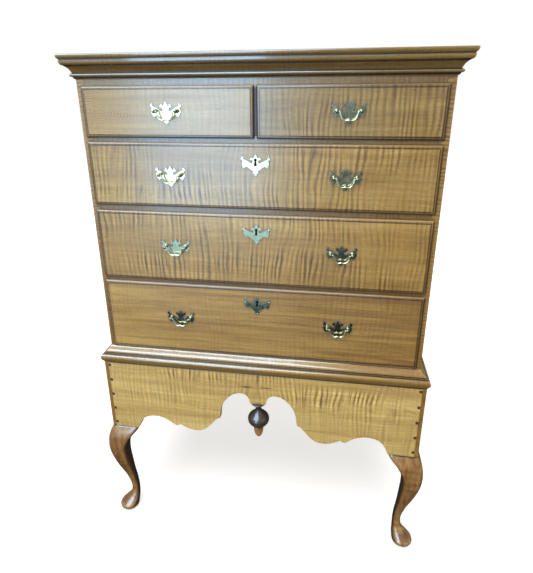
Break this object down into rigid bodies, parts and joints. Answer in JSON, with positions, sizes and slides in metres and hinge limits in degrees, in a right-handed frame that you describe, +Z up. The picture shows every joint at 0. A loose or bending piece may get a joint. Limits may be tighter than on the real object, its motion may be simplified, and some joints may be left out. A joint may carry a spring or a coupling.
{
  "type": "tall chest of drawers",
  "caption": "Tall case of short and long lipped drawers on a frame with cabriole legs, for storing clothes and linen.",
  "frame": {"origin": "on the floor, under the middle of the chest", "axes": "+Z up, +X to the right of a person facing the drawers, +Y from the drawers to the back"},
  "size_m": [1.0236, 0.5486, 1.5135],
  "materials": {
    "maple": "honey-amber figured maple, glossy clear finish",
    "turned_maple": "reddish-brown maple, glossy clear finish",
    "pine": "bare, aged softwood",
    "brass": "polished cast brass with filed bevels",
    "bail_brass": "polished brass wire, pale gold",
    "iron": "dull dark iron"
  },
  "bodies": {
    "carcass": {"case_side_left": "maple", "case_side_right": "maple", "case_top": "maple", "frieze_rail": "maple", "base_rail": "maple", "drawer_rail_upper": "maple", "drawer_rail_middle": "maple", "drawer_rail_lower": "maple", "drawer_divider": "maple", "cornice_front": "maple", "cornice_left": "maple", "cornice_right": "maple", "waist_moulding_front": "maple", "waist_moulding_left": "maple", "waist_moulding_right": "maple", "frame_apron": "maple", "frame_side_left": "maple", "frame_side_right": "maple", "case_back": "pine", "case_bottom": "pine", "frame_back": "pine", "seat_frame": "pine", "leg_front_left": "turned_maple", "leg_front_right": "turned_maple", "leg_rear_left": "turned_maple", "leg_rear_right": "turned_maple", "pendant_drop": "turned_maple"},
    "top_left_drawer": {"top_left_drawer_front": "maple", "top_left_drawer_box": "pine", "top_left_pull_plate": "brass"},
    "top_left_pull_bail": {"top_left_pull_bail": "bail_brass"},
    "top_right_drawer": {"top_right_drawer_front": "maple", "top_right_drawer_box": "pine", "top_right_pull_plate": "brass"},
    "top_right_pull_bail": {"top_right_pull_bail": "bail_brass"},
    "upper_drawer": {"upper_drawer_front": "maple", "upper_drawer_box": "pine", "upper_lock": "iron", "upper_escutcheon": "brass", "upper_left_pull_plate": "brass", "upper_right_pull_plate": "brass"},
    "upper_left_pull_bail": {"upper_left_pull_bail": "bail_brass"},
    "upper_right_pull_bail": {"upper_right_pull_bail": "bail_brass"},
    "middle_drawer": {"middle_drawer_front": "maple", "middle_drawer_box": "pine", "middle_lock": "iron", "middle_escutcheon": "brass", "middle_left_pull_plate": "brass", "middle_right_pull_plate": "brass"},
    "middle_left_pull_bail": {"middle_left_pull_bail": "bail_brass"},
    "middle_right_pull_bail": {"middle_right_pull_bail": "bail_brass"},
    "lower_drawer": {"lower_drawer_front": "maple", "lower_drawer_box": "pine", "lower_lock": "iron", "lower_escutcheon": "brass", "lower_left_pull_plate": "brass", "lower_right_pull_plate": "brass"},
    "lower_left_pull_bail": {"lower_left_pull_bail": "bail_brass"},
    "lower_right_pull_bail": {"lower_right_pull_bail": "bail_brass"}
  },
  "joints": [
    {"name": "top_left_drawer_slide", "type": "slide", "parent": "carcass", "child": "top_left_drawer", "axis": [0, -1, 0], "range_m": [0, 0.36]},
    {"name": "top_left_pull_bail_swing", "type": "hinge", "parent": "top_left_drawer", "child": "top_left_pull_bail", "pos_m": [-0.23, -0.2537, 1.3753], "axis": [-1, 0, 0], "range_deg": [-20, 200]},
    {"name": "top_right_drawer_slide", "type": "slide", "parent": "carcass", "child": "top_right_drawer", "axis": [0, -1, 0], "range_m": [0, 0.36]},
    {"name": "top_right_pull_bail_swing", "type": "hinge", "parent": "top_right_drawer", "child": "top_right_pull_bail", "pos_m": [0.23, -0.2537, 1.3753], "axis": [-1, 0, 0], "range_deg": [-20, 200]},
    {"name": "upper_drawer_slide", "type": "slide", "parent": "carcass", "child": "upper_drawer", "axis": [0, -1, 0], "range_m": [0, 0.36]},
    {"name": "upper_left_pull_bail_swing", "type": "hinge", "parent": "upper_drawer", "child": "upper_left_pull_bail", "pos_m": [-0.23, -0.2537, 1.21225], "axis": [-1, 0, 0], "range_deg": [-20, 200]},
    {"name": "upper_right_pull_bail_swing", "type": "hinge", "parent": "upper_drawer", "child": "upper_right_pull_bail", "pos_m": [0.23, -0.2537, 1.21225], "axis": [-1, 0, 0], "range_deg": [-20, 200]},
    {"name": "middle_drawer_slide", "type": "slide", "parent": "carcass", "child": "middle_drawer", "axis": [0, -1, 0], "range_m": [0, 0.36]},
    {"name": "middle_left_pull_bail_swing", "type": "hinge", "parent": "middle_drawer", "child": "middle_left_pull_bail", "pos_m": [-0.23, -0.2537, 1.0077], "axis": [-1, 0, 0], "range_deg": [-20, 200]},
    {"name": "middle_right_pull_bail_swing", "type": "hinge", "parent": "middle_drawer", "child": "middle_right_pull_bail", "pos_m": [0.23, -0.2537, 1.0077], "axis": [-1, 0, 0], "range_deg": [-20, 200]},
    {"name": "lower_drawer_slide", "type": "slide", "parent": "carcass", "child": "lower_drawer", "axis": [0, -1, 0], "range_m": [0, 0.36]},
    {"name": "lower_left_pull_bail_swing", "type": "hinge", "parent": "lower_drawer", "child": "lower_left_pull_bail", "pos_m": [-0.23, -0.2537, 0.7831], "axis": [-1, 0, 0], "range_deg": [-20, 200]},
    {"name": "lower_right_pull_bail_swing", "type": "hinge", "parent": "lower_drawer", "child": "lower_right_pull_bail", "pos_m": [0.23, -0.2537, 0.7831], "axis": [-1, 0, 0], "range_deg": [-20, 200]}
  ]
}
